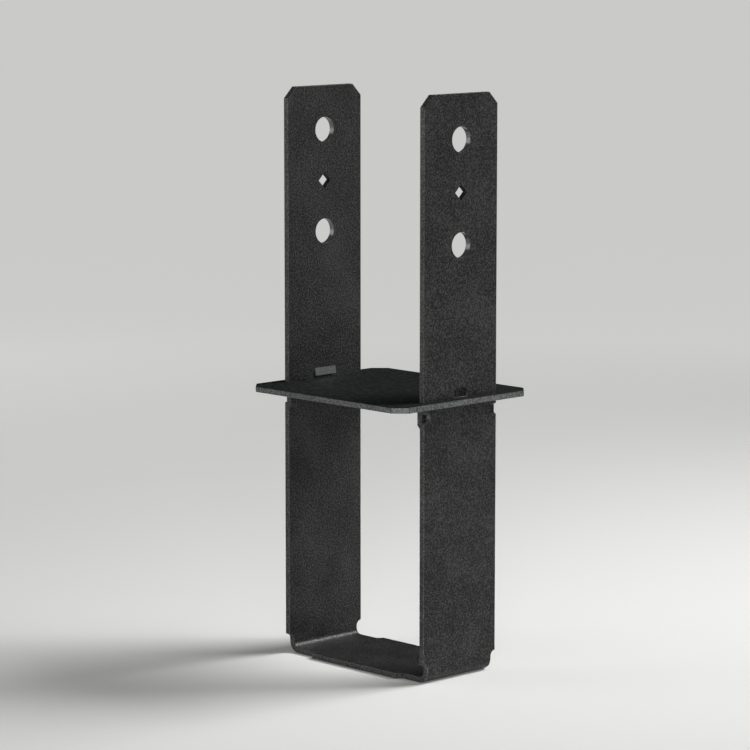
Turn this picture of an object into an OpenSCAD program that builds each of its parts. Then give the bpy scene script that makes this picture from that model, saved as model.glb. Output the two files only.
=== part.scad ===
// Column base for a timber post: one strap folded to a U, with a bearing plate held on its legs.
// X runs from leg to leg, Y along the strap's width, and Z up from the strap's underside.

/* [Post] */
// Dressed width of the post that stands between the legs
post_w = 139.7; // [88:0.1:190]
// Play between the post and the two legs together
post_play = 1.6; // [0.4:0.1:5]

/* [Strap] */
// Width of the flat strap
strap_w = 76.2; // [60:0.1:110]
// Thickness of the strap
strap_t = 4.55; // [3:0.05:6.5]
// Inside radius of the two bends
bend_r = 4.55; // [3:0.05:7]
// Height of the bearing plate's underside above the strap's underside
embed_h = 206.9; // [120:0.1:300]
// Length of each leg above the bearing plate's top
leg_rise = 224.25; // [170:0.05:320]
// Size of the 45 degree cuts on the legs' top corners
leg_corner = 8.5; // [2:0.1:14]

/* [Holes] */
// Diameter of the bolts that clamp the post
bolt_d = 15.9; // [12:0.05:22]
// Difference between the bolt holes and the bolts
bolt_clear = 3.15; // [0.5:0.05:4]
// Distance from a leg's top end to its upper bolt hole
hole_end = 33.55; // [26:0.05:45]
// Distance between the two bolt holes of a leg
hole_pitch = 77.6; // [60:0.1:90]
// Side of the square hole that stands on its corner between the bolt holes
square_side = 8.7; // [5:0.1:11]

/* [Bend notches] */
// Depth of the notches in the strap's edges
notch_d = 4.4; // [2:0.1:7]
// Height that a notch reaches up the leg, from the strap's underside
notch_up = 14.9; // [14:0.1:30]
// Reach of a notch along the web, from the leg's outer face
notch_in = 29.5; // [22:0.1:36]

/* [Bearing plate] */
// Thickness of the plate
plate_t = 4.55; // [3:0.05:8]
// Depth of the plate, along the strap's width
plate_y = 139.7; // [125:0.1:190]
// Width of plate that stands out past each leg's outer face
plate_margin = 7.35; // [5:0.05:20]
// Size of the 45 degree cuts on the plate's corners
plate_corner = 9.4; // [2:0.1:11]
// Gap all round between a leg and its slot in the plate
slot_clear = 0.5; // [0.2:0.05:1]

/* [Lower lugs] */
// How far a lug stands out of the leg's inner face, under the plate
lug_out = 2.35; // [1.5:0.05:3.2]
// Height of a lug, down from the plate's underside
lug_h = 15.1; // [12:0.1:22]
// Width of a lug, from the strap's edge
lug_w = 8.4; // [7:0.1:14]
// Height of the hollow that the punch left behind a lug
dimple_h = 8.4; // [6:0.1:9.5]
// Reach of the hollow from the strap's edge
dimple_w = 6.7; // [5:0.1:6.9]
// How much narrower the hollow is at its floor, on each side
dimple_draft = 1.2; // [0.4:0.1:2]

/* [Upper tabs] */
// Width of the tab on the leg's inner face
tab_w = 21.5; // [16:0.1:32]
// Width of the hollow behind the tab, on the outer face
tab_hollow_w = 13.6; // [10:0.1:15]
// Radius of the hollow's upper corners
tab_hollow_r = 3.4; // [1:0.1:4.8]
// Height of the tab from its cut end to its root
tab_h = 7; // [6:0.1:12]
// How far the tab's cut end is pushed inwards
tab_out = 1.5; // [1.2:0.05:2.2]
// Clearance from the plate's top to the cut under the tab
tab_gap = 0.7; // [0.3:0.05:1.5]
// Width of the slit that the cut left under the tab's outer corner
tab_slit = 0.6; // [0.3:0.05:1]

/* [Hidden] */
$fn = 64;
steel = "#343536";
// Overrun of a cutting tool past the surface that it opens
past = 1;
leg_gap = post_w + post_play;
bend_outer_r = bend_r + strap_t;
outer_x = leg_gap / 2 + strap_t;
edge_y = strap_w / 2;
plate_top = embed_h + plate_t;
strap_h = plate_top + leg_rise;
hole_d = bolt_d + bolt_clear;
upper_hole_z = strap_h - hole_end;
lower_hole_z = upper_hole_z - hole_pitch;
square_z = upper_hole_z - hole_pitch / 2;
tab_cut_z = plate_top + tab_gap;
tab_root_z = tab_cut_z + tab_h;
tab_slope = sqrt(tab_h * tab_h + tab_out * tab_out);
// Outer and inner corners of the tab's cut end, which is square to its tilted faces
tab_heel_x = tab_out * (1 - tab_slit / tab_h);
tab_heel_z = tab_cut_z + tab_slit;
tab_toe_x = tab_heel_x + strap_t * tab_h / tab_slope;
tab_toe_z = tab_heel_z + strap_t * tab_out / tab_slope;

// Runs a piece of leg work on both legs: x is 0 on the outer face and grows inwards
module each_leg() {
    for (turn = [0, 180])
        rotate([0, 0, turn])
            translate([-outer_x, 0, 0])
                children();
}

// Runs a piece of edge work on both edges of the strap
module each_edge() {
    children();
    mirror([0, 1, 0])
        children();
}

// Extrudes an outline drawn in X and Z along Y, centred on the strap
module along_y(width) {
    rotate([90, 0, 0])
        linear_extrude(height = width, center = true)
            children();
}

// Extrudes an outline drawn in Y and Z along X, from x = 0
module along_x(depth) {
    rotate([90, 0, 90])
        linear_extrude(height = depth)
            children();
}

// Upright rectangle whose two lower corners are rounded
module round_foot(width, height, radius) {
    translate([-width / 2, radius])
        square([width, height - radius]);
    translate([radius - width / 2, 0])
        square([width - 2 * radius, height]);
    for (side = [-1, 1])
        translate([side * (width / 2 - radius), radius])
            circle(r = radius);
}

// The strap as it leaves the press brake: two legs and a web of one thickness
module folded_strap() {
    along_y(strap_w)
        difference() {
            round_foot(2 * outer_x, strap_h, bend_outer_r);
            translate([0, strap_t])
                round_foot(leg_gap, strap_h, bend_r);
        }
}

// Cuts the top corners of both legs off at 45 degrees
module leg_corner_cuts() {
    translate([-outer_x - past, 0, 0])
        along_x(2 * (outer_x + past))
            each_corner_2d()
                polygon([
                    [edge_y - leg_corner - past, strap_h + past],
                    [edge_y + past, strap_h + past],
                    [edge_y + past, strap_h - leg_corner - past]
                ]);
}

// Repeats a flat outline on both sides of the upright axis
module each_corner_2d() {
    children();
    mirror([1, 0])
        children();
}

// Bolt holes and the square hole on its corner, bored through both legs at once
module leg_holes() {
    for (z = [lower_hole_z, upper_hole_z])
        translate([0, 0, z])
            rotate([0, 90, 0])
                cylinder(d = hole_d, h = 2 * (outer_x + past), center = true);
    translate([0, 0, square_z])
        rotate([45, 0, 0])
            cube([2 * (outer_x + past), square_side, square_side], center = true);
}

// A notch with round ends that runs from the leg round the bend into the web
module bend_notch() {
    reach = notch_d + past;
    // Leg and bend
    translate([-past, 0, 0])
        along_x(bend_outer_r + past) {
            translate([edge_y - notch_d, -past])
                square([reach, notch_up - notch_d + past]);
            translate([edge_y, notch_up - notch_d])
                circle(r = notch_d);
        }
    // Web
    translate([0, 0, -past])
        linear_extrude(height = strap_t + 2 * past) {
            translate([bend_outer_r - past, edge_y - notch_d])
                square([notch_in - notch_d - bend_outer_r + past, reach]);
            translate([notch_in - notch_d, edge_y])
                circle(r = notch_d);
        }
}

// Lug under the plate: the strap's edge pushed inwards, flat on top and sloped below
module lug() {
    root = strap_t / 2;
    crown = strap_t + lug_out;
    foot = embed_h - lug_h;
    intersection() {
        along_y(strap_w)
            polygon([
                [root, embed_h],
                [crown, embed_h],
                [crown, foot + lug_out],
                [strap_t, foot],
                [root, foot]
            ]);
        translate([0, 0, foot - past])
            linear_extrude(height = lug_h + 2 * past)
                polygon([
                    [root, edge_y],
                    [crown, edge_y],
                    [crown, edge_y - lug_w + lug_out],
                    [strap_t, edge_y - lug_w],
                    [root, edge_y - lug_w]
                ]);
    }
}

// Hollow that the punch left on the outer face behind a lug, open at the strap's edge
module lug_dimple() {
    rim = dimple_h / 2;
    floor_r = rim - dimple_draft;
    mouth_r = rim + dimple_draft * past / lug_out;
    centre_y = edge_y - dimple_w + rim;
    translate([0, centre_y, embed_h - lug_h / 2])
        rotate([0, 90, 0])
            translate([0, 0, -past])
                cylinder(r1 = mouth_r, r2 = floor_r, h = lug_out + past);
    translate([0, (centre_y + edge_y + past) / 2, embed_h - lug_h / 2])
        along_y(edge_y + past - centre_y)
            polygon([
                [-past, -mouth_r],
                [-past, mouth_r],
                [lug_out, floor_r],
                [lug_out, -floor_r]
            ]);
}

// Tab above the plate: cut across its lower end and pushed inwards from its root
module tab() {
    face_z = tab_toe_z + (tab_toe_x - strap_t) * tab_h / tab_out;
    along_y(tab_w)
        polygon([
            [strap_t / 2, face_z],
            [strap_t, face_z],
            [tab_toe_x, tab_toe_z],
            [tab_toe_x, tab_cut_z],
            [strap_t / 2, tab_cut_z]
        ]);
}

// Opening under the tab's tilted end, a narrow slit outside and wider inside
module tab_undercut() {
    along_y(tab_w)
        polygon([
            [tab_heel_x, tab_cut_z],
            [tab_heel_x, tab_heel_z],
            [tab_toe_x + past, tab_toe_z + past * tab_out / tab_h],
            [tab_toe_x + past, tab_cut_z]
        ]);
}

// Hollow on the outer face behind the tab, with round upper corners
module tab_hollow() {
    half = tab_hollow_w / 2;
    run = tab_out * past / tab_h;
    intersection() {
        along_y(tab_hollow_w)
            polygon([
                [-past, tab_root_z + past],
                [-run, tab_root_z + past],
                [tab_out, tab_cut_z],
                [-past, tab_cut_z]
            ]);
        translate([-past, 0, 0])
            along_x(tab_out + 2 * past) {
                translate([-half, tab_cut_z - past])
                    square([tab_hollow_w, tab_h - tab_hollow_r + past]);
                translate([tab_hollow_r - half, tab_cut_z])
                    square([tab_hollow_w - 2 * tab_hollow_r, tab_h]);
                for (side = [-1, 1])
                    translate([side * (half - tab_hollow_r), tab_root_z - tab_hollow_r])
                        circle(r = tab_hollow_r);
            }
    }
}

// Flat bar folded to a U, with its holes, notches, lugs and tabs
module u_strap() {
    color(steel)
        difference() {
            union() {
                folded_strap();
                each_leg() {
                    each_edge()
                        lug();
                    tab();
                }
            }
            leg_corner_cuts();
            leg_holes();
            each_leg() {
                each_edge() {
                    bend_notch();
                    lug_dimple();
                }
                tab_undercut();
                tab_hollow();
            }
        }
}

// Flat plate with cut corners, threaded over the legs and resting on the lugs
module bearing_plate() {
    half_x = outer_x + plate_margin;
    half_y = plate_y / 2;
    slot_x = strap_t + 2 * slot_clear;
    slot_y = strap_w + 2 * slot_clear;
    color(steel)
        translate([0, 0, embed_h])
            linear_extrude(height = plate_t)
                difference() {
                    polygon([
                        [-half_x + plate_corner, -half_y],
                        [half_x - plate_corner, -half_y],
                        [half_x, -half_y + plate_corner],
                        [half_x, half_y - plate_corner],
                        [half_x - plate_corner, half_y],
                        [-half_x + plate_corner, half_y],
                        [-half_x, half_y - plate_corner],
                        [-half_x, -half_y + plate_corner]
                    ]);
                    for (side = [-1, 1])
                        translate([side * (outer_x - strap_t / 2), 0])
                            square([slot_x, slot_y], center = true);
                }
}

u_strap();
bearing_plate();
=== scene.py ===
"""Column base for a timber post: its finish, edges and studio stage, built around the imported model."""

import math

import bmesh
import bpy
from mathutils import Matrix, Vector


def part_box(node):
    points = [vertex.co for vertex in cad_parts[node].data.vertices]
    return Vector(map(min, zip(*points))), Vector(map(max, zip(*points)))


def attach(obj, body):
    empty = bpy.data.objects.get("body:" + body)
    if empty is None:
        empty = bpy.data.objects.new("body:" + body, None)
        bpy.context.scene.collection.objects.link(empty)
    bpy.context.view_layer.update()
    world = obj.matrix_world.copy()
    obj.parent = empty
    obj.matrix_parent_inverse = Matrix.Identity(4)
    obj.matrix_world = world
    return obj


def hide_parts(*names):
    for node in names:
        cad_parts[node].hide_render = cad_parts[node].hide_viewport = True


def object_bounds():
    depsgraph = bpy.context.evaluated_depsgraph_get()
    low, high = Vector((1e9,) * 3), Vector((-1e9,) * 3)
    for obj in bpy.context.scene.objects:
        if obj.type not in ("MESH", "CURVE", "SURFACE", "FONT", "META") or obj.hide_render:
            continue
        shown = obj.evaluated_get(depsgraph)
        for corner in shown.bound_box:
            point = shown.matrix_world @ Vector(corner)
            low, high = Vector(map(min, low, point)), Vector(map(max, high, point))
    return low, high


bl_info = {
    "name": "Column base",
    "version": (1, 0, 0),
    "blender": (4, 5, 0),
    "location": "View3D > Sidebar > Column base",
    "description": "A folded strap and its slotted plate in textured powder coat, on a plain stage",
    "category": "Object",
}

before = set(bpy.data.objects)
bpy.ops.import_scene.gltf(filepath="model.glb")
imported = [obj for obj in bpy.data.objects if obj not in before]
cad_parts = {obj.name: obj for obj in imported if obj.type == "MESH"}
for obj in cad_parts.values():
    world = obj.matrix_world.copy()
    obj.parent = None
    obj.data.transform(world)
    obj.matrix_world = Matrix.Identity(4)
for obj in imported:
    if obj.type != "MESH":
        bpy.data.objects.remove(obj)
CAD_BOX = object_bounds()
STRAP_LOW, STRAP_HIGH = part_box("u_strap")
PLATE_LOW, PLATE_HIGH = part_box("bearing_plate")

MM = 0.001

# Thickness of the strap and outer radius of its bends
STRAP_T = 4.55 * MM
BEND_OUTER_R = 9.1 * MM
LEG_OUTER = STRAP_HIGH.x
LEG_INNER = STRAP_HIGH.x - STRAP_T
# A pressed face lies at least this far off the leg's own faces
PRESSED_STEP = 0.2 * MM
# Zones of the strap that hold its small pressed features
TAB_ZONE_HEIGHT = 9.5 * MM
TAB_ZONE_HALF = 11.5 * MM
LUG_ZONE_HEIGHT = 16 * MM
LUG_ZONE_REACH = 9.5 * MM
# Zone of each leg that holds the punched holes, down from its top end, and their share of the rounding
HOLE_ZONE_TOP = 12 * MM
HOLE_ZONE_END = 125 * MM
HOLE_ZONE_HALF = 12 * MM
HOLE_SHARE = 0.2
# Middle of the square hole, down from the leg's top end, and half the height of its zone
SQUARE_DOWN = 72.35 * MM
SQUARE_HALF = 7 * MM
# Share of the rounding at the plate's slots, and how far they reach past the legs
SLOT_SHARE = 0.4
SLOT_REACH = 1 * MM
# The tab leans at about 12 degrees, so creases above this angle stay sharp near it
TAB_CREASE_ANGLE = math.radians(6)

# Two faces that meet at more than this angle have an arris between them
ARRIS_ANGLE = math.radians(30)
BEVEL_STEPS = 3
# Points closer than this are merged, and faces that lean apart by less than this angle are joined
MERGE_DISTANCE = 0.001 * MM
FLAT_ANGLE = math.radians(0.3)

# Material slots: both pieces have the first three, the plate's fourth is its corner cuts, and the strap's
# last three are its punched walls, its tabs' faces and its pressed hollows
FACE, SHEARED, ARRIS, PUNCHED, PRESSED, HOLLOW = range(6)
CORNER_CUT = PUNCHED
# An arris whose normal rises more than this faces upwards
UPWARD = 0.3
# A face looks along an axis when its normal has more than the first share on it, and is square to the
# axis when it has at most the second
ALONG = 0.6
ACROSS = 0.1

# The coat's real grain is too fine to show, so it is drawn so many times coarser
REAL_GRAIN = 0.3 * MM
DRAWN_COARSER = 4
# Stretch of the noise that the grain's tones run over, and how much more its light side gains than its
# dark side loses
GRAIN_FROM = 0.4
GRAIN_TO = 0.8
GRAIN_LIGHT = 3.2
# The same for the soft patches, and their share of the tone
PATCH_FROM = 0.3
PATCH_TO = 0.7
PATCH = 0.12
# Flecks for each grain along a line, and the stretch of noise over which a fleck fades in
FLECK_PITCH = 0.7
FLECK_FADE = 0.06
# Swing of the roughness between the grain's light and dark tones
GLOSS_SPREAD = 0.1

# Distances over which the floor's own paleness takes over from the lamps, and its strength at either end
PAPER_NEAR = 0.3
PAPER_FAR = 1.9
PAPER_LEAST = 0.1
PAPER_FILL = 0.72

# Colour sockets of a Mix node
MIX_A, MIX_B, MIX_RESULT = 6, 7, 2


def linear(hex_colour):
    """Turns an sRGB hex colour into the linear RGBA that shaders read."""
    rgb = [int(hex_colour[i:i + 2], 16) / 255 for i in (1, 3, 5)]
    return [c / 12.92 if c <= 0.04045 else ((c + 0.055) / 1.055) ** 2.4 for c in rgb] + [1.0]


def add_node(tree, kind, values=None, links=None, **settings):
    """Adds a shader node with its settings, its sockets' values and its links."""
    node = tree.nodes.new(kind)
    for name, value in settings.items():
        setattr(node, name, value)
    for name, value in (values or {}).items():
        node.inputs[name].default_value = value
    for name, source in (links or {}).items():
        tree.links.new(source, node.inputs[name])
    return node


def new_material(name):
    """An empty node material with its output."""
    material = bpy.data.materials.new(name)
    material.use_nodes = True
    material.node_tree.nodes.clear()
    return material, material.node_tree, material.node_tree.nodes.new("ShaderNodeOutputMaterial")


class EdgeSizes(bpy.types.PropertyGroup):
    """Rounding that shearing, punching and the coat leave on the edges."""
    arris: bpy.props.FloatProperty(
        name="Arris", description="Rounding of the sheared edges and the holes' rims",
        default=0.5 * MM, min=0.1 * MM, max=1 * MM, precision=5, unit="LENGTH")
    fine_arris: bpy.props.FloatProperty(
        name="Fine arris", description="Rounding at the tabs, the lugs and the legs' tops",
        default=0.14 * MM, min=0.05 * MM, max=0.2 * MM, precision=5, unit="LENGTH")


class CoatFinish(bpy.types.PropertyGroup):
    """Colours, gloss and grain of the powder coat."""
    strap_colour: bpy.props.FloatVectorProperty(
        name="Strap", description="Colour of the coat on the strap's faces",
        default=linear("#282828"), size=4, min=0, max=1, subtype="COLOR")
    # Darker than the strap: partly the plate's own colour, partly painted shade on its top
    plate_colour_and_shade: bpy.props.FloatVectorProperty(
        name="Plate", description="Colour of the coat on the plate's faces",
        default=linear("#202322"), size=4, min=0, max=1, subtype="COLOR")
    # Paler than the strap's faces: a painted highlight on the sheared edges
    strap_edge_highlight_colour: bpy.props.FloatVectorProperty(
        name="Strap edges", description="Colour of the coat on the strap's sheared edges",
        default=linear("#414141"), size=4, min=0, max=1, subtype="COLOR")
    # Paler than the plate's faces: a painted highlight on the sheared edges
    plate_edge_highlight_colour: bpy.props.FloatVectorProperty(
        name="Plate edges", description="Colour of the coat on the plate's sheared edges",
        default=linear("#595a5b"), size=4, min=0, max=1, subtype="COLOR")
    # Paler than the faces: a painted highlight along the arrises
    arris_highlight_colour: bpy.props.FloatVectorProperty(
        name="Arrises", description="Colour of the painted highlight on the arrises",
        default=linear("#48494a"), size=4, min=0, max=1, subtype="COLOR")
    # Paler than the faces: a painted highlight on the punched and lanced walls
    punched_highlight_colour: bpy.props.FloatVectorProperty(
        name="Punched walls", description="Colour of the coat on punched and lanced walls",
        default=linear("#4a4b4c"), size=4, min=0, max=1, subtype="COLOR")
    # Paler than the sheared edges: a painted highlight on the cropped corners
    corner_highlight_colour: bpy.props.FloatVectorProperty(
        name="Corner cuts", description="Colour of the coat on the plate's cropped corners",
        default=linear("#727374"), size=4, min=0, max=1, subtype="COLOR")
    # Paler than the leg: a painted highlight on the tabs' tilted faces
    tab_highlight_colour: bpy.props.FloatVectorProperty(
        name="Tabs", description="Colour of the coat on the tabs' faces",
        default=linear("#4a4b4c"), size=4, min=0, max=1, subtype="COLOR")
    # A little darker than the faces and matt: a painted shade in the hollows and the square holes
    hollow_shade_colour: bpy.props.FloatVectorProperty(
        name="Hollows", description="Colour of the coat in the hollows and the square holes",
        default=linear("#262626"), size=4, min=0, max=1, subtype="COLOR")
    fleck: bpy.props.FloatVectorProperty(
        name="Fleck", description="Colour of the sparse pale flecks",
        default=linear("#6c7073"), size=4, min=0, max=1, subtype="COLOR")
    grain: bpy.props.FloatProperty(
        name="Grain", description="Size of the coat's grain as it is drawn",
        default=DRAWN_COARSER * REAL_GRAIN, min=0.2 * MM, max=4 * MM, precision=5, unit="LENGTH")
    mottle: bpy.props.FloatProperty(
        name="Mottle", description="Size of the soft uneven patches",
        default=32 * MM, min=4 * MM, max=60 * MM, precision=4, unit="LENGTH")
    pebble: bpy.props.FloatProperty(
        name="Pebble", description="Height of the coat's pebbled grain",
        default=0.13 * MM, min=0, max=2 * MM, precision=5, unit="LENGTH")


class StageSizes(bpy.types.PropertyGroup):
    """Floor, lights and camera."""
    floor_colour: bpy.props.FloatVectorProperty(
        name="Floor", description="Colour of the floor and the backdrop",
        default=linear("#e4e4e2"), size=4, min=0, max=1, subtype="COLOR")
    room_colour: bpy.props.FloatVectorProperty(
        name="Room", description="Colour of the dim room round the stage",
        default=linear("#383838"), size=4, min=0, max=1, subtype="COLOR")
    floor_size: bpy.props.FloatProperty(
        name="Floor size", description="Side of the floor",
        default=80, min=5, max=200, unit="LENGTH")
    camera_place: bpy.props.FloatVectorProperty(
        name="Camera", description="Where the camera stands",
        default=(1.7552, -1.7149, 0.5793), size=3, subtype="TRANSLATION", unit="LENGTH")
    camera_target: bpy.props.FloatVectorProperty(
        name="Target", description="Point in the middle of the picture",
        default=(0.0137, -0.0283, 0.2248), size=3, subtype="TRANSLATION", unit="LENGTH")
    camera_lens: bpy.props.FloatProperty(
        name="Lens", description="Focal length on a 36 mm sensor",
        default=157.83, min=20, max=400, unit="CAMERA")


class ColumnBase(bpy.types.PropertyGroup):
    """All settings of the column base."""
    edges: bpy.props.PointerProperty(type=EdgeSizes)
    coat: bpy.props.PointerProperty(type=CoatFinish)
    stage: bpy.props.PointerProperty(type=StageSizes)


def select_only(obj):
    """Leaves one object selected and active."""
    bpy.ops.object.select_all(action="DESELECT")
    obj.select_set(True)
    bpy.context.view_layer.objects.active = obj


def copy_node(node, name):
    """A new piece with a CAD node's form, its doubles merged and its flat faces joined."""
    piece = bpy.data.objects.new(name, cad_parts[node].data.copy())
    piece.data.name = name
    piece.data.materials.clear()
    bpy.context.scene.collection.objects.link(piece)
    select_only(piece)
    bpy.ops.object.mode_set(mode="EDIT")
    bpy.ops.mesh.select_all(action="SELECT")
    bpy.ops.mesh.remove_doubles(threshold=MERGE_DISTANCE)
    bpy.ops.mesh.dissolve_limited(angle_limit=FLAT_ANGLE)
    bpy.ops.object.mode_set(mode="OBJECT")
    return piece


def mark_piece(piece, slot_of, edge_weight):
    """Gives each face its material slot, and each arris its share of the rounding."""
    mesh = bmesh.new()
    mesh.from_mesh(piece.data)
    weights = mesh.edges.layers.float.new("bevel_weight_edge")
    for face in mesh.faces:
        face.material_index = slot_of(face)
    for edge in mesh.edges:
        if edge.is_manifold and edge.calc_face_angle() > ARRIS_ANGLE:
            edge[weights] = edge_weight((edge.verts[0].co + edge.verts[1].co) / 2)
    mesh.to_mesh(piece.data)
    mesh.free()


def near_tab(place):
    """True beside the tab of either leg."""
    return PLATE_LOW.z < place.z < PLATE_HIGH.z + TAB_ZONE_HEIGHT and abs(place.y) < TAB_ZONE_HALF


def near_lug(place):
    """True beside a lug of either leg."""
    return (PLATE_LOW.z - LUG_ZONE_HEIGHT < place.z < PLATE_HIGH.z
            and abs(place.y) > STRAP_HIGH.y - LUG_ZONE_REACH)


def near_hole(place):
    """True in the holes' zone of either leg, short of the leg's top end."""
    down = STRAP_HIGH.z - place.z
    return HOLE_ZONE_TOP < down < HOLE_ZONE_END and abs(place.y) < HOLE_ZONE_HALF


def near_square(place):
    """True beside the square hole of either leg."""
    return near_hole(place) and abs(STRAP_HIGH.z - place.z - SQUARE_DOWN) < SQUARE_HALF


def keep_tab_creases(piece):
    """Marks the shallow creases round the tabs as sharp, so that their flat faces stay flat."""
    mesh = bmesh.new()
    mesh.from_mesh(piece.data)
    for edge in mesh.edges:
        middle = (edge.verts[0].co + edge.verts[1].co) / 2
        if edge.is_manifold and near_tab(middle) and edge.calc_face_angle() > TAB_CREASE_ANGLE:
            edge.smooth = False
    mesh.to_mesh(piece.data)
    mesh.free()


def round_arrises(piece, radius):
    """Rounds the marked edges and smooths what isn't an arris."""
    select_only(piece)
    bevel = piece.modifiers.new("Arrises", "BEVEL")
    bevel.limit_method = "WEIGHT"
    bevel.width = radius
    bevel.segments = BEVEL_STEPS
    bevel.use_clamp_overlap = False
    # The bevel's faces take the arris coat with its painted highlight
    bevel.material = ARRIS
    bpy.ops.object.modifier_apply(modifier=bevel.name)
    # An upward arris gets the face's coat, so it has no painted highlight and is as dark as the face
    for face in piece.data.polygons:
        if face.material_index == ARRIS and face.normal.z > UPWARD:
            face.material_index = FACE
    bpy.ops.object.shade_smooth_by_angle(angle=ARRIS_ANGLE)
    keep_tab_creases(piece)
    weighted = piece.modifiers.new("Flat faces", "WEIGHTED_NORMAL")
    weighted.keep_sharp = True
    bpy.ops.object.modifier_apply(modifier=weighted.name)


def shade(colour, factor):
    """The same linear colour, lighter or darker."""
    return [min(1.0, c * factor) for c in colour[:3]] + [1.0]


def powder_coat(name, coat, colour, roughness, specular, pebble=1.0, spread=0.74, fleck_from=0.76,
                coarse=1.0):
    """Powder coat, sprayed dry and baked: pebbled grain, soft patches and sparse pale flecks.
    The pebble's height and the grain's coarseness are shares of the strap face's, the spread says how far
    the grain's tones reach, and a fleck starts where its noise passes fleck_from."""
    pitch = coat.grain * coarse
    material, tree, output = new_material(name)
    place = add_node(tree, "ShaderNodeTexCoord").outputs["Object"]
    grain = add_node(tree, "ShaderNodeTexNoise", {"Scale": 1 / pitch, "Detail": 1.0},
                     {"Vector": place})
    mottle = add_node(tree, "ShaderNodeTexNoise", {"Scale": 1 / coat.mottle, "Detail": 2.0},
                      {"Vector": place})
    flecks = add_node(tree, "ShaderNodeTexNoise", {"Scale": FLECK_PITCH / pitch, "Detail": 1.0},
                      {"Vector": place})
    grain_tone = add_node(tree, "ShaderNodeMapRange", {"From Min": GRAIN_FROM, "From Max": GRAIN_TO},
                          {"Value": grain.outputs["Fac"]})
    patch_tone = add_node(tree, "ShaderNodeMapRange",
                          {"From Min": PATCH_FROM, "From Max": PATCH_TO, "To Min": -PATCH,
                           "To Max": PATCH},
                          {"Value": mottle.outputs["Fac"]})
    tone = add_node(tree, "ShaderNodeMath", None,
                    {0: grain_tone.outputs["Result"], 1: patch_tone.outputs["Result"]},
                    operation="ADD", use_clamp=True)
    fleck_tone = add_node(tree, "ShaderNodeMapRange",
                          {"From Min": fleck_from, "From Max": fleck_from + FLECK_FADE},
                          {"Value": flecks.outputs["Fac"]})
    body = add_node(tree, "ShaderNodeMix",
                    {MIX_A: shade(colour, 1 - spread), MIX_B: shade(colour, 1 + GRAIN_LIGHT * spread)},
                    {0: tone.outputs[0]}, data_type="RGBA")
    top = add_node(tree, "ShaderNodeMix", {MIX_B: coat.fleck},
                   {0: fleck_tone.outputs["Result"], MIX_A: body.outputs[MIX_RESULT]}, data_type="RGBA")
    gloss = add_node(tree, "ShaderNodeMapRange",
                     {"To Min": roughness + GLOSS_SPREAD, "To Max": roughness - GLOSS_SPREAD},
                     {"Value": tone.outputs[0]})
    bump = add_node(tree, "ShaderNodeBump", {"Strength": 1.0, "Distance": coat.pebble * pebble},
                    {"Height": grain.outputs["Fac"]})
    shader = add_node(tree, "ShaderNodeBsdfPrincipled", {"Specular IOR Level": specular},
                      {"Base Color": top.outputs[MIX_RESULT], "Roughness": gloss.outputs["Result"],
                       "Normal": bump.outputs["Normal"]})
    tree.links.new(shader.outputs["BSDF"], output.inputs["Surface"])
    return material


def textured_strap_coat(coat):
    """Fine-textured powder coat on rolled strip: charcoal, with a low sheen that the grain breaks up."""
    return powder_coat("textured powder coat", coat, coat.strap_colour, roughness=0.36,
                       specular=0.22)


def strap_edge_painted_highlight_coat(coat):
    """Powder coat on slit strip edges: the same coat, paler as a painted highlight, and smoother."""
    return powder_coat("powder coat on slit edge, painted highlight", coat, coat.strap_edge_highlight_colour, roughness=0.4,
                       specular=0.2, pebble=0.6, spread=0.5)


def matt_plate_coat_and_painted_shade(coat):
    """Matt coat on rolled plate, broader grained than the strap's, no sheen; darker: own colour and
    painted shade.
    """
    return powder_coat("matt powder coat on plate, partly painted shade", coat, coat.plate_colour_and_shade, roughness=0.5,
                       specular=0.03, pebble=0.5, spread=0.2, fleck_from=0.8, coarse=3.0)


def plate_edge_painted_highlight_coat(coat):
    """Powder coat on sheared plate edges: paler than the plate's faces, a painted highlight on the edges.
    """
    return powder_coat("powder coat on sheared edge, painted highlight", coat, coat.plate_edge_highlight_colour, roughness=0.38,
                       specular=0.2, spread=0.4)


def arris_painted_highlight_coat(coat):
    """Powder coat on an arris: a narrow painted highlight, paler than the faces, along every sheared
    edge.
    """
    return powder_coat("powder coat with painted highlight on arrises", coat, coat.arris_highlight_colour, roughness=0.34,
                       specular=0.45, pebble=0.3, spread=0.4)


def corner_cut_painted_highlight_coat(coat):
    """Powder coat on the cropped corners: paler than the sheared edges, a painted highlight on the
    corners.
    """
    return powder_coat("powder coat on cropped corner, painted highlight", coat, coat.corner_highlight_colour, roughness=0.36,
                       specular=0.4, pebble=0.6, spread=0.3)


def pressed_tab_painted_highlight_coat(coat):
    """Coat on the tabs' faces: paler as a painted highlight on the tilted face, with a quieter grain."""
    return powder_coat("powder coat on pressed tab, painted highlight", coat, coat.tab_highlight_colour, roughness=0.36,
                       specular=0.7, pebble=0.3, spread=0.3)


def hollow_painted_shade_coat(coat):
    """Powder coat in hollows and square holes: painted shade, a little darker than the faces and matt."""
    return powder_coat("powder coat in pressed hollow, painted shade", coat, coat.hollow_shade_colour, roughness=0.5,
                       specular=0.05, pebble=0.5)


def punched_wall_painted_highlight_coat(coat):
    """Powder coat over punched and lanced walls: paler as a painted highlight, and glossy from the
    burnish.
    """
    return powder_coat("powder coat on punched wall, painted highlight", coat, coat.punched_highlight_colour, roughness=0.22,
                       specular=1.0, pebble=0.2, spread=0.3)


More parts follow.
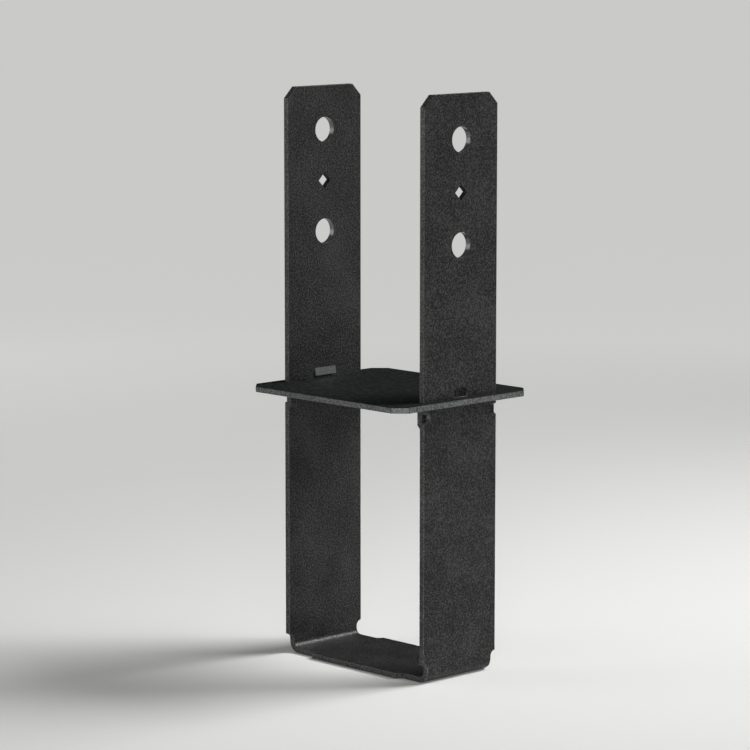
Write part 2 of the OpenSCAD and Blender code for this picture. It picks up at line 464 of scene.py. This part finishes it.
class COLUMNBASE_OT_folded_strap(bpy.types.Operator):
    """Makes the folded strap: its arrises rounded and its faces coated"""
    bl_idname = "column_base.folded_strap"
    bl_label = "Folded strap"

    def execute(self, context):
        settings = context.scene.column_base
        coat = settings.coat
        fine = settings.edges.fine_arris / settings.edges.arris

        def slot_of(face):
            """Faces, slit edges, and punched and pressed places, told apart by place and direction."""
            normal, middle = face.normal, face.calc_center_median()
            if middle.z < BEND_OUTER_R:
                return FACE if abs(normal.y) <= ACROSS else SHEARED
            if abs(normal.x) < ALONG:
                # The small square holes get the hollows' painted shade
                if near_square(middle):
                    return HOLLOW
                # Walls of the holes, the tabs and the lugs' recesses get the punched coat's painted
                # highlight
                lug_wall = near_lug(middle) and abs(middle.y) < STRAP_HIGH.y - PRESSED_STEP
                return PUNCHED if near_hole(middle) or near_tab(middle) or lug_wall else SHEARED
            depth = abs(middle.x)
            # Faces set back into a pressed hollow get the hollows' painted shade
            if LEG_INNER + PRESSED_STEP < depth < LEG_OUTER - PRESSED_STEP:
                return HOLLOW
            # A tab's tilted face gets the tab coat's painted highlight
            return PRESSED if near_tab(middle) and depth < LEG_INNER - PRESSED_STEP else FACE

        def edge_weight(place):
            """The whole rounding along the strap, and less at its ends, tabs, lugs and holes."""
            at_top = place.z > STRAP_HIGH.z - PRESSED_STEP
            if near_tab(place) or near_lug(place) or at_top:
                return fine
            return HOLE_SHARE if near_hole(place) else 1.0

        piece = copy_node("u_strap", "folded_strap")
        mark_piece(piece, slot_of, edge_weight)
        for make in (textured_strap_coat, strap_edge_painted_highlight_coat, arris_painted_highlight_coat, punched_wall_painted_highlight_coat,
                     pressed_tab_painted_highlight_coat, hollow_painted_shade_coat):
            piece.data.materials.append(make(coat))
        round_arrises(piece, settings.edges.arris)
        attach(piece, "root")
        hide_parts("u_strap")
        return {"FINISHED"}


class COLUMNBASE_OT_slotted_plate(bpy.types.Operator):
    """Makes the slotted plate: its arrises rounded, its faces dark and its sheared edges paler"""
    bl_idname = "column_base.slotted_plate"
    bl_label = "Slotted plate"

    def execute(self, context):
        settings = context.scene.column_base
        coat = settings.coat
        piece = copy_node("bearing_plate", "slotted_plate")

        def slot_of(face):
            """Faces, sheared edges and corner cuts, told apart by direction."""
            if abs(face.normal.z) > ALONG:
                return FACE
            return CORNER_CUT if min(abs(face.normal.x), abs(face.normal.y)) > ALONG else SHEARED

        def edge_weight(place):
            """The whole rounding outside, and less at the slots."""
            at_slot = (abs(place.y) < STRAP_HIGH.y + SLOT_REACH
                       and abs(place.x) < STRAP_HIGH.x + SLOT_REACH)
            return SLOT_SHARE if at_slot else 1.0

        mark_piece(piece, slot_of, edge_weight)
        for make in (matt_plate_coat_and_painted_shade, plate_edge_painted_highlight_coat, arris_painted_highlight_coat, corner_cut_painted_highlight_coat):
            piece.data.materials.append(make(coat))
        round_arrises(piece, settings.edges.arris)
        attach(piece, "root")
        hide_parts("bearing_plate")
        return {"FINISHED"}


def softbox(name, direction, distance, size, power, spread):
    """A square lamp with a grid, which stands off in one direction and faces the middle of the part. The
    grid lets the light spread over so many degrees, so it doesn't clip the floor just below the lamp."""
    middle = (CAD_BOX[0] + CAD_BOX[1]) / 2
    away = Vector(direction).normalized()
    bpy.ops.object.light_add(type="AREA", location=middle + away * distance)
    lamp = bpy.context.object
    lamp.name = name
    lamp.data.shape = "SQUARE"
    lamp.data.size = size
    lamp.data.energy = power
    lamp.data.spread = math.radians(spread)
    lamp.visible_camera = False
    lamp.rotation_euler = (-away).to_track_quat("-Z", "Y").to_euler()


def pale_floor_paper(colour):
    """Matt floor paper. Far from the part, where the lamps fade, it keeps its pale colour to the camera
    and in reflections. Near the part the lamps light it, so that it holds the shadow."""
    material, tree, output = new_material("matt floor paper")
    paper = add_node(tree, "ShaderNodeBsdfDiffuse", {"Color": colour})
    place = add_node(tree, "ShaderNodeTexCoord").outputs["Object"]
    reach = add_node(tree, "ShaderNodeVectorMath", None, {0: place}, operation="LENGTH")
    far = add_node(tree, "ShaderNodeMapRange",
                   {"From Min": PAPER_NEAR, "From Max": PAPER_FAR, "To Min": PAPER_LEAST,
                    "To Max": PAPER_FILL},
                   {"Value": reach.outputs["Value"]}, interpolation_type="SMOOTHSTEP")
    path = add_node(tree, "ShaderNodeLightPath")
    seen = add_node(tree, "ShaderNodeMath", None,
                    {0: path.outputs["Is Camera Ray"], 1: path.outputs["Is Glossy Ray"]},
                    operation="MAXIMUM")
    through = add_node(tree, "ShaderNodeMath", None,
                       {0: seen.outputs[0], 1: path.outputs["Is Transmission Ray"]}, operation="MAXIMUM")
    strength = add_node(tree, "ShaderNodeMath", None, {0: far.outputs["Result"], 1: through.outputs[0]},
                        operation="MULTIPLY")
    fill = add_node(tree, "ShaderNodeEmission", {"Color": colour}, {"Strength": strength.outputs[0]})
    both = add_node(tree, "ShaderNodeAddShader", None, {0: paper.outputs[0], 1: fill.outputs[0]})
    tree.links.new(both.outputs[0], output.inputs["Surface"])
    return material


class COLUMNBASE_OT_stage(bpy.types.Operator):
    """Makes the stage: a pale floor, a dim room, four gridded softboxes and the camera"""
    bl_idname = "column_base.stage"
    bl_label = "Stage"

    def execute(self, context):
        scene = context.scene
        stage = scene.column_base.stage
        bpy.ops.object.select_all(action="DESELECT")
        bpy.ops.mesh.primitive_plane_add(size=stage.floor_size)
        floor = context.object
        floor.name = "floor"
        floor.data.materials.append(pale_floor_paper(stage.floor_colour))

        world = bpy.data.worlds.new("dim studio")
        scene.world = world
        world.use_nodes = True
        world.node_tree.nodes.clear()
        room = add_node(world.node_tree, "ShaderNodeBackground", {"Color": stage.room_colour})
        sky = add_node(world.node_tree, "ShaderNodeOutputWorld")
        world.node_tree.links.new(room.outputs["Background"], sky.inputs["Surface"])

        softbox("rear softbox", direction=(0.32, 0.67, 0.67), distance=1.8, size=0.9, power=10.2,
                spread=90)
        softbox("right softbox", direction=(0.55, 0.50, 0.75), distance=2.0, size=0.8, power=1.2,
                spread=90)
        softbox("left softbox", direction=(-0.71, -0.69, 0.22), distance=2.2, size=1.3, power=3.0,
                spread=90)
        softbox("front softbox", direction=(0.72, -0.68, 0.14), distance=2.6, size=0.8, power=3.2,
                spread=70)

        camera = bpy.data.objects.new("camera", bpy.data.cameras.new("camera"))
        scene.collection.objects.link(camera)
        camera.location = stage.camera_place
        aim = Vector(stage.camera_target) - camera.location
        camera.rotation_euler = aim.to_track_quat("-Z", "Y").to_euler()
        camera.data.lens = stage.camera_lens
        scene.camera = camera
        scene.view_settings.view_transform = "Standard"
        return {"FINISHED"}


class COLUMNBASE_PT_sidebar(bpy.types.Panel):
    """Lists the pieces and their settings."""
    bl_label = "Column base"
    bl_space_type = "VIEW_3D"
    bl_region_type = "UI"
    bl_category = "Column base"

    def draw(self, context):
        settings = context.scene.column_base
        for operator in (COLUMNBASE_OT_folded_strap, COLUMNBASE_OT_slotted_plate, COLUMNBASE_OT_stage):
            self.layout.operator(operator.bl_idname)
        for group in (settings.edges, settings.coat, settings.stage):
            box = self.layout.box()
            for name in group.__annotations__:
                box.prop(group, name)


CLASSES = (EdgeSizes, CoatFinish, StageSizes, ColumnBase, COLUMNBASE_OT_folded_strap,
           COLUMNBASE_OT_slotted_plate, COLUMNBASE_OT_stage, COLUMNBASE_PT_sidebar)


def register():
    """Registers the classes and hangs the settings on the scene."""
    for cls in CLASSES:
        bpy.utils.register_class(cls)
    bpy.types.Scene.column_base = bpy.props.PointerProperty(type=ColumnBase)


def unregister():
    """Takes the settings and the classes away again."""
    del bpy.types.Scene.column_base
    for cls in reversed(CLASSES):
        bpy.utils.unregister_class(cls)


def main():
    register()
    bpy.ops.column_base.folded_strap()
    bpy.ops.column_base.slotted_plate()
    bpy.ops.column_base.stage()


if __name__ == "__main__":
    main()
